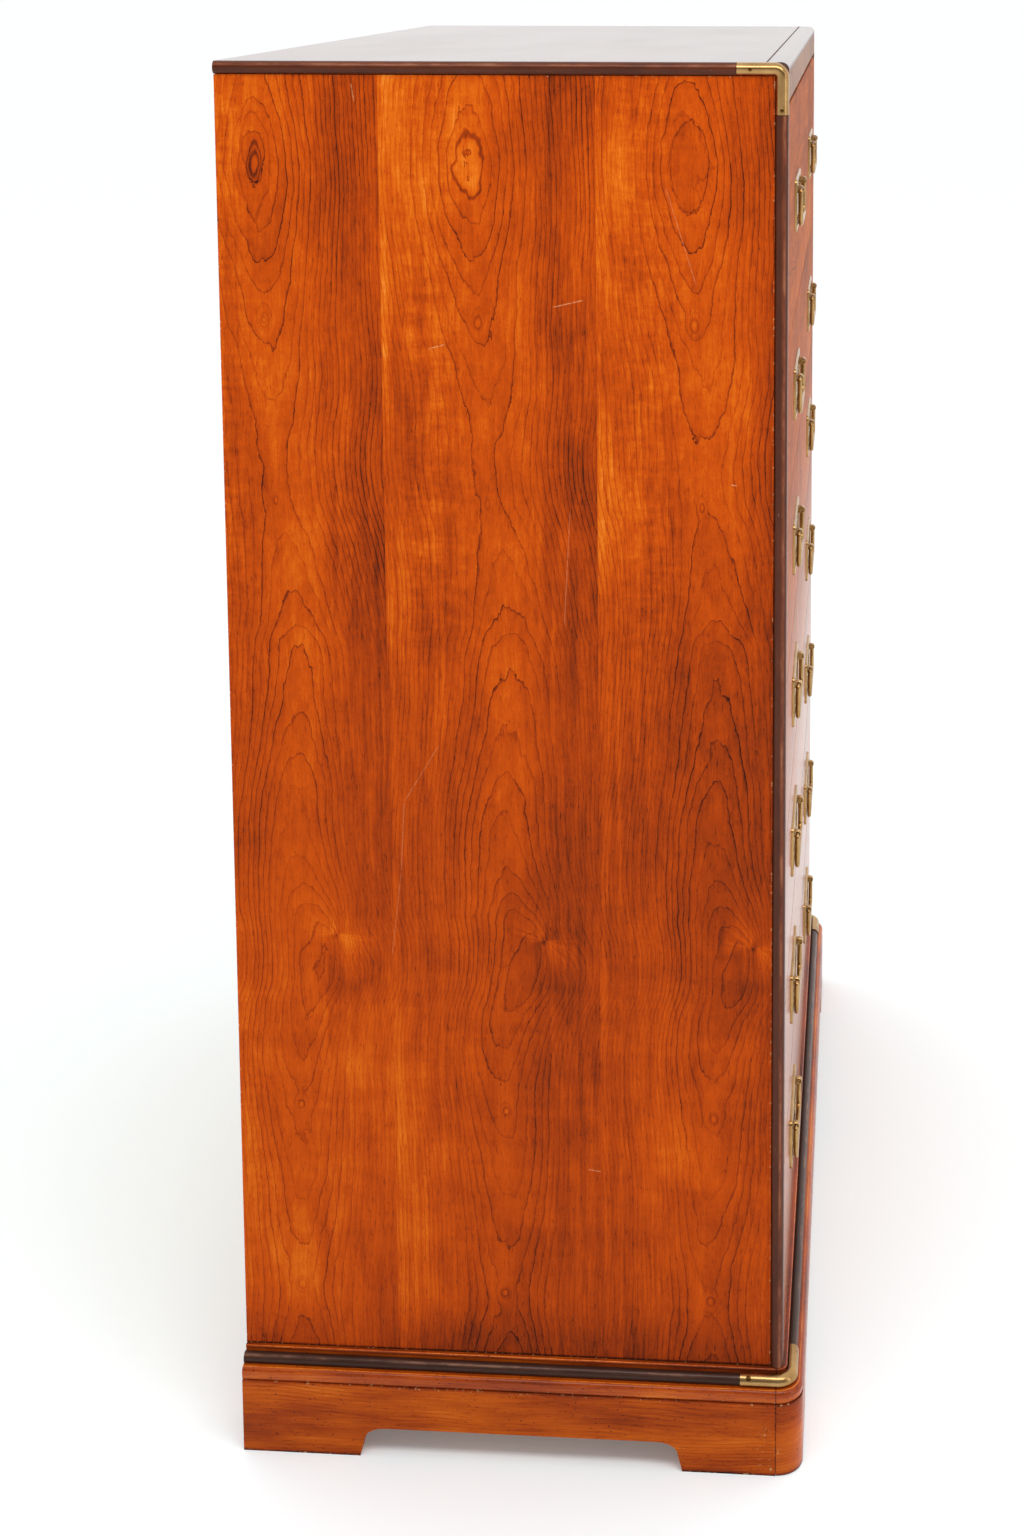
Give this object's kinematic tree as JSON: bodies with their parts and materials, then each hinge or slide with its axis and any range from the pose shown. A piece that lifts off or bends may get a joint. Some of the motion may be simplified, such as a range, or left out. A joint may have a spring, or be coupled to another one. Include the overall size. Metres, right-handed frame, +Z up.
{
  "type": "campaign chest",
  "caption": "Tall campaign chest of drawers on a plinth with shaped feet, dark half-round beading, brass corners and swinging bail pulls.",
  "frame": {"origin": "on the floor, under the middle of the plinth's footprint", "axes": "+Z up, -Y out of the drawer fronts, +X to the right of someone facing the front"},
  "size_m": [1.038, 0.539, 1.34],
  "materials": {
    "cherry_veneer": "satin lacquer over stained cherry veneer",
    "cherry_top": "polished lacquer over stained cherry",
    "cherry_solid": "satin lacquer over stained, lightly distressed cherry",
    "dark_bead": "satin lacquer over near-black stain",
    "drawer_wood": "thin clear lacquer",
    "brass": "satin, aged"
  },
  "bodies": {
    "carcass": {"side_panel_left": "cherry_veneer", "side_panel_right": "cherry_veneer", "top_panel": "cherry_top", "frieze_rail": "cherry_top", "bottom_rail": "cherry_veneer", "bottom_panel": "drawer_wood", "back_panel": "drawer_wood", "top_bead_left": "dark_bead", "top_bead_right": "dark_bead", "corner_bead_left": "dark_bead", "corner_bead_right": "dark_bead", "corner_bracket_left": "brass", "corner_bracket_right": "brass", "base_bracket_left": "brass", "base_bracket_right": "brass", "base_moulding": "cherry_solid", "plinth_front": "cherry_solid", "plinth_frame": "cherry_solid"},
    "drawer_1": {"drawer_front_1": "cherry_veneer", "drawer_box_1": "drawer_wood", "pull_plate_1_left": "brass", "pull_plate_1_right": "brass"},
    "bail_1_left": {"pull_bail_1_left": "brass"},
    "bail_1_right": {"pull_bail_1_right": "brass"},
    "drawer_2": {"drawer_front_2": "cherry_veneer", "drawer_box_2": "drawer_wood", "pull_plate_2_left": "brass", "pull_plate_2_right": "brass"},
    "bail_2_left": {"pull_bail_2_left": "brass"},
    "bail_2_right": {"pull_bail_2_right": "brass"},
    "drawer_3": {"drawer_front_3": "cherry_veneer", "drawer_box_3": "drawer_wood", "pull_plate_3_left": "brass", "pull_plate_3_right": "brass"},
    "bail_3_left": {"pull_bail_3_left": "brass"},
    "bail_3_right": {"pull_bail_3_right": "brass"},
    "drawer_4": {"drawer_front_4": "cherry_veneer", "drawer_box_4": "drawer_wood", "pull_plate_4_left": "brass", "pull_plate_4_right": "brass"},
    "bail_4_left": {"pull_bail_4_left": "brass"},
    "bail_4_right": {"pull_bail_4_right": "brass"},
    "drawer_5": {"drawer_front_5": "cherry_veneer", "drawer_box_5": "drawer_wood", "pull_plate_5_left": "brass", "pull_plate_5_right": "brass"},
    "bail_5_left": {"pull_bail_5_left": "brass"},
    "bail_5_right": {"pull_bail_5_right": "brass"},
    "drawer_6": {"drawer_front_6": "cherry_veneer", "drawer_box_6": "drawer_wood", "pull_plate_6_left": "brass", "pull_plate_6_right": "brass"},
    "bail_6_left": {"pull_bail_6_left": "brass"},
    "bail_6_right": {"pull_bail_6_right": "brass"},
    "drawer_7": {"drawer_front_7": "cherry_veneer", "drawer_box_7": "drawer_wood", "pull_plate_7_left": "brass", "pull_plate_7_right": "brass"},
    "bail_7_left": {"pull_bail_7_left": "brass"},
    "bail_7_right": {"pull_bail_7_right": "brass"}
  },
  "joints": [
    {"name": "drawer_1_slide", "type": "slide", "parent": "carcass", "child": "drawer_1", "axis": [0, -1, 0], "range_m": [0, 0.38]},
    {"name": "bail_1_left_swing", "type": "hinge", "parent": "drawer_1", "child": "bail_1_left", "pos_m": [-0.26, -0.2562, 1.2068], "axis": [-1, 0, 0], "range_deg": [0, 95]},
    {"name": "bail_1_right_swing", "type": "hinge", "parent": "drawer_1", "child": "bail_1_right", "pos_m": [0.26, -0.2562, 1.2068], "axis": [-1, 0, 0], "range_deg": [0, 95]},
    {"name": "drawer_2_slide", "type": "slide", "parent": "carcass", "child": "drawer_2", "axis": [0, -1, 0], "range_m": [0, 0.38]},
    {"name": "bail_2_left_swing", "type": "hinge", "parent": "drawer_2", "child": "bail_2_left", "pos_m": [-0.26, -0.2562, 1.0194], "axis": [-1, 0, 0], "range_deg": [0, 95]},
    {"name": "bail_2_right_swing", "type": "hinge", "parent": "drawer_2", "child": "bail_2_right", "pos_m": [0.26, -0.2562, 1.0194], "axis": [-1, 0, 0], "range_deg": [0, 95]},
    {"name": "drawer_3_slide", "type": "slide", "parent": "carcass", "child": "drawer_3", "axis": [0, -1, 0], "range_m": [0, 0.38]},
    {"name": "bail_3_left_swing", "type": "hinge", "parent": "drawer_3", "child": "bail_3_left", "pos_m": [-0.26, -0.2562, 0.8626], "axis": [-1, 0, 0], "range_deg": [0, 95]},
    {"name": "bail_3_right_swing", "type": "hinge", "parent": "drawer_3", "child": "bail_3_right", "pos_m": [0.26, -0.2562, 0.8626], "axis": [-1, 0, 0], "range_deg": [0, 95]},
    {"name": "drawer_4_slide", "type": "slide", "parent": "carcass", "child": "drawer_4", "axis": [0, -1, 0], "range_m": [0, 0.38]},
    {"name": "bail_4_left_swing", "type": "hinge", "parent": "drawer_4", "child": "bail_4_left", "pos_m": [-0.26, -0.2562, 0.7058], "axis": [-1, 0, 0], "range_deg": [0, 95]},
    {"name": "bail_4_right_swing", "type": "hinge", "parent": "drawer_4", "child": "bail_4_right", "pos_m": [0.26, -0.2562, 0.7058], "axis": [-1, 0, 0], "range_deg": [0, 95]},
    {"name": "drawer_5_slide", "type": "slide", "parent": "carcass", "child": "drawer_5", "axis": [0, -1, 0], "range_m": [0, 0.38]},
    {"name": "bail_5_left_swing", "type": "hinge", "parent": "drawer_5", "child": "bail_5_left", "pos_m": [-0.26, -0.2562, 0.549], "axis": [-1, 0, 0], "range_deg": [0, 95]},
    {"name": "bail_5_right_swing", "type": "hinge", "parent": "drawer_5", "child": "bail_5_right", "pos_m": [0.26, -0.2562, 0.549], "axis": [-1, 0, 0], "range_deg": [0, 95]},
    {"name": "drawer_6_slide", "type": "slide", "parent": "carcass", "child": "drawer_6", "axis": [0, -1, 0], "range_m": [0, 0.38]},
    {"name": "bail_6_left_swing", "type": "hinge", "parent": "drawer_6", "child": "bail_6_left", "pos_m": [-0.26, -0.2562, 0.3922], "axis": [-1, 0, 0], "range_deg": [0, 95]},
    {"name": "bail_6_right_swing", "type": "hinge", "parent": "drawer_6", "child": "bail_6_right", "pos_m": [0.26, -0.2562, 0.3922], "axis": [-1, 0, 0], "range_deg": [0, 95]},
    {"name": "drawer_7_slide", "type": "slide", "parent": "carcass", "child": "drawer_7", "axis": [0, -1, 0], "range_m": [0, 0.38]},
    {"name": "bail_7_left_swing", "type": "hinge", "parent": "drawer_7", "child": "bail_7_left", "pos_m": [-0.26, -0.2562, 0.2354], "axis": [-1, 0, 0], "range_deg": [0, 95]},
    {"name": "bail_7_right_swing", "type": "hinge", "parent": "drawer_7", "child": "bail_7_right", "pos_m": [0.26, -0.2562, 0.2354], "axis": [-1, 0, 0], "range_deg": [0, 95]}
  ]
}
